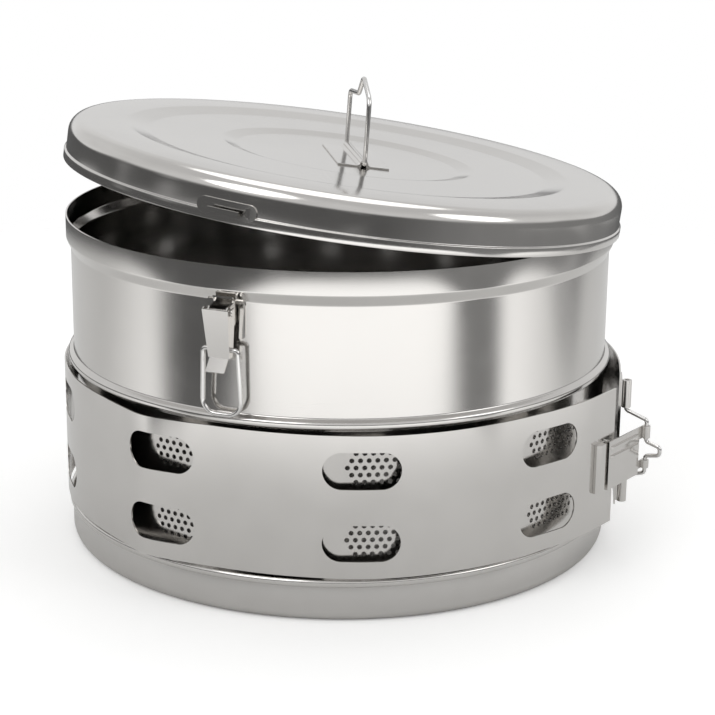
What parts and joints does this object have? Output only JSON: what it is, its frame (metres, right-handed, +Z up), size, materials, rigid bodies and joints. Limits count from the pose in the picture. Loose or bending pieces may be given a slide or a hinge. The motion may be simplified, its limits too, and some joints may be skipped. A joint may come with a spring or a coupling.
{
  "type": "sterilization drum",
  "caption": "Round steel sterilization drum with a dished lid leaning open, lever clasps, a wire lid handle and a slack windowed shutter band over its perforated wall.",
  "frame": {"origin": "centre of the base on the ground", "axes": "+Z up, -Y towards the front, +X towards the band latch"},
  "size_m": [0.3218, 0.3009, 0.2494],
  "materials": {
    "polished_sheet": "mirror polished stainless sheet",
    "satin_sheet": "satin stainless sheet",
    "bright_wire": "bright stainless wire"
  },
  "bodies": {
    "drum": {"drum_wall": "polished_sheet", "base_pan": "satin_sheet", "front_clasp_bracket": "polished_sheet", "front_clasp_pin": "bright_wire", "rear_clasp_bracket": "polished_sheet", "rear_clasp_pin": "bright_wire"},
    "lid": {"lid": "polished_sheet", "lid_tunnel_plate": "polished_sheet", "front_strike": "polished_sheet", "rear_strike": "polished_sheet"},
    "handle": {"lid_handle": "bright_wire"},
    "front_lever": {"front_clasp_lever": "polished_sheet"},
    "front_bail": {"front_clasp_bail": "bright_wire"},
    "rear_lever": {"rear_clasp_lever": "polished_sheet"},
    "rear_bail": {"rear_clasp_bail": "bright_wire"},
    "band": {"shutter_band": "polished_sheet", "band_keeper": "polished_sheet", "barrel_plate": "polished_sheet"},
    "crank": {"latch_crank": "bright_wire"},
    "plate": {"latch_plate": "polished_sheet"}
  },
  "joints": [
    {"name": "lid_lift", "type": "hinge", "parent": "drum", "child": "lid", "pos_m": [0.17109, 0.03171, 0.1675], "axis": [-0.1822, 0.9833, 0], "range_deg": [-7.86, 75]},
    {"name": "handle_fold", "type": "hinge", "parent": "lid", "child": "handle", "pos_m": [0.00783, 0.0013, 0.20627], "axis": [0.1464, -0.9892, 0.005], "range_deg": [-93, 85]},
    {"name": "front_lever_swing", "type": "hinge", "parent": "drum", "child": "front_lever", "pos_m": [-0.05735, -0.14195, 0.1565], "axis": [-0.9272, 0.3746, 0], "range_deg": [0, 75]},
    {"name": "front_bail_swing", "type": "hinge", "parent": "front_lever", "child": "front_bail", "pos_m": [-0.0566, -0.1401, 0.1375], "axis": [-0.9272, 0.3746, 0], "range_deg": [0, 105]},
    {"name": "rear_lever_swing", "type": "hinge", "parent": "drum", "child": "rear_lever", "pos_m": [0.05735, 0.14195, 0.1565], "axis": [0.9272, -0.3746, 0], "range_deg": [0, 75]},
    {"name": "rear_bail_swing", "type": "hinge", "parent": "rear_lever", "child": "rear_bail", "pos_m": [0.0566, 0.1401, 0.1375], "axis": [0.9272, -0.3746, 0], "range_deg": [0, 105]},
    {"name": "band_turn", "type": "hinge", "parent": "drum", "child": "band", "pos_m": [0, 0, 0.06085], "axis": [0, 0, 1], "continuous": true},
    {"name": "crank_swing", "type": "hinge", "parent": "band", "child": "crank", "pos_m": [0.1529, -0.04575, 0.061], "axis": [0, 0, 1], "range_deg": [0, 80]},
    {"name": "plate_swing", "type": "hinge", "parent": "crank", "child": "plate", "pos_m": [0.1635, -0.0515, 0.061], "axis": [0, 0, 1], "range_deg": [0, 60]}
  ]
}
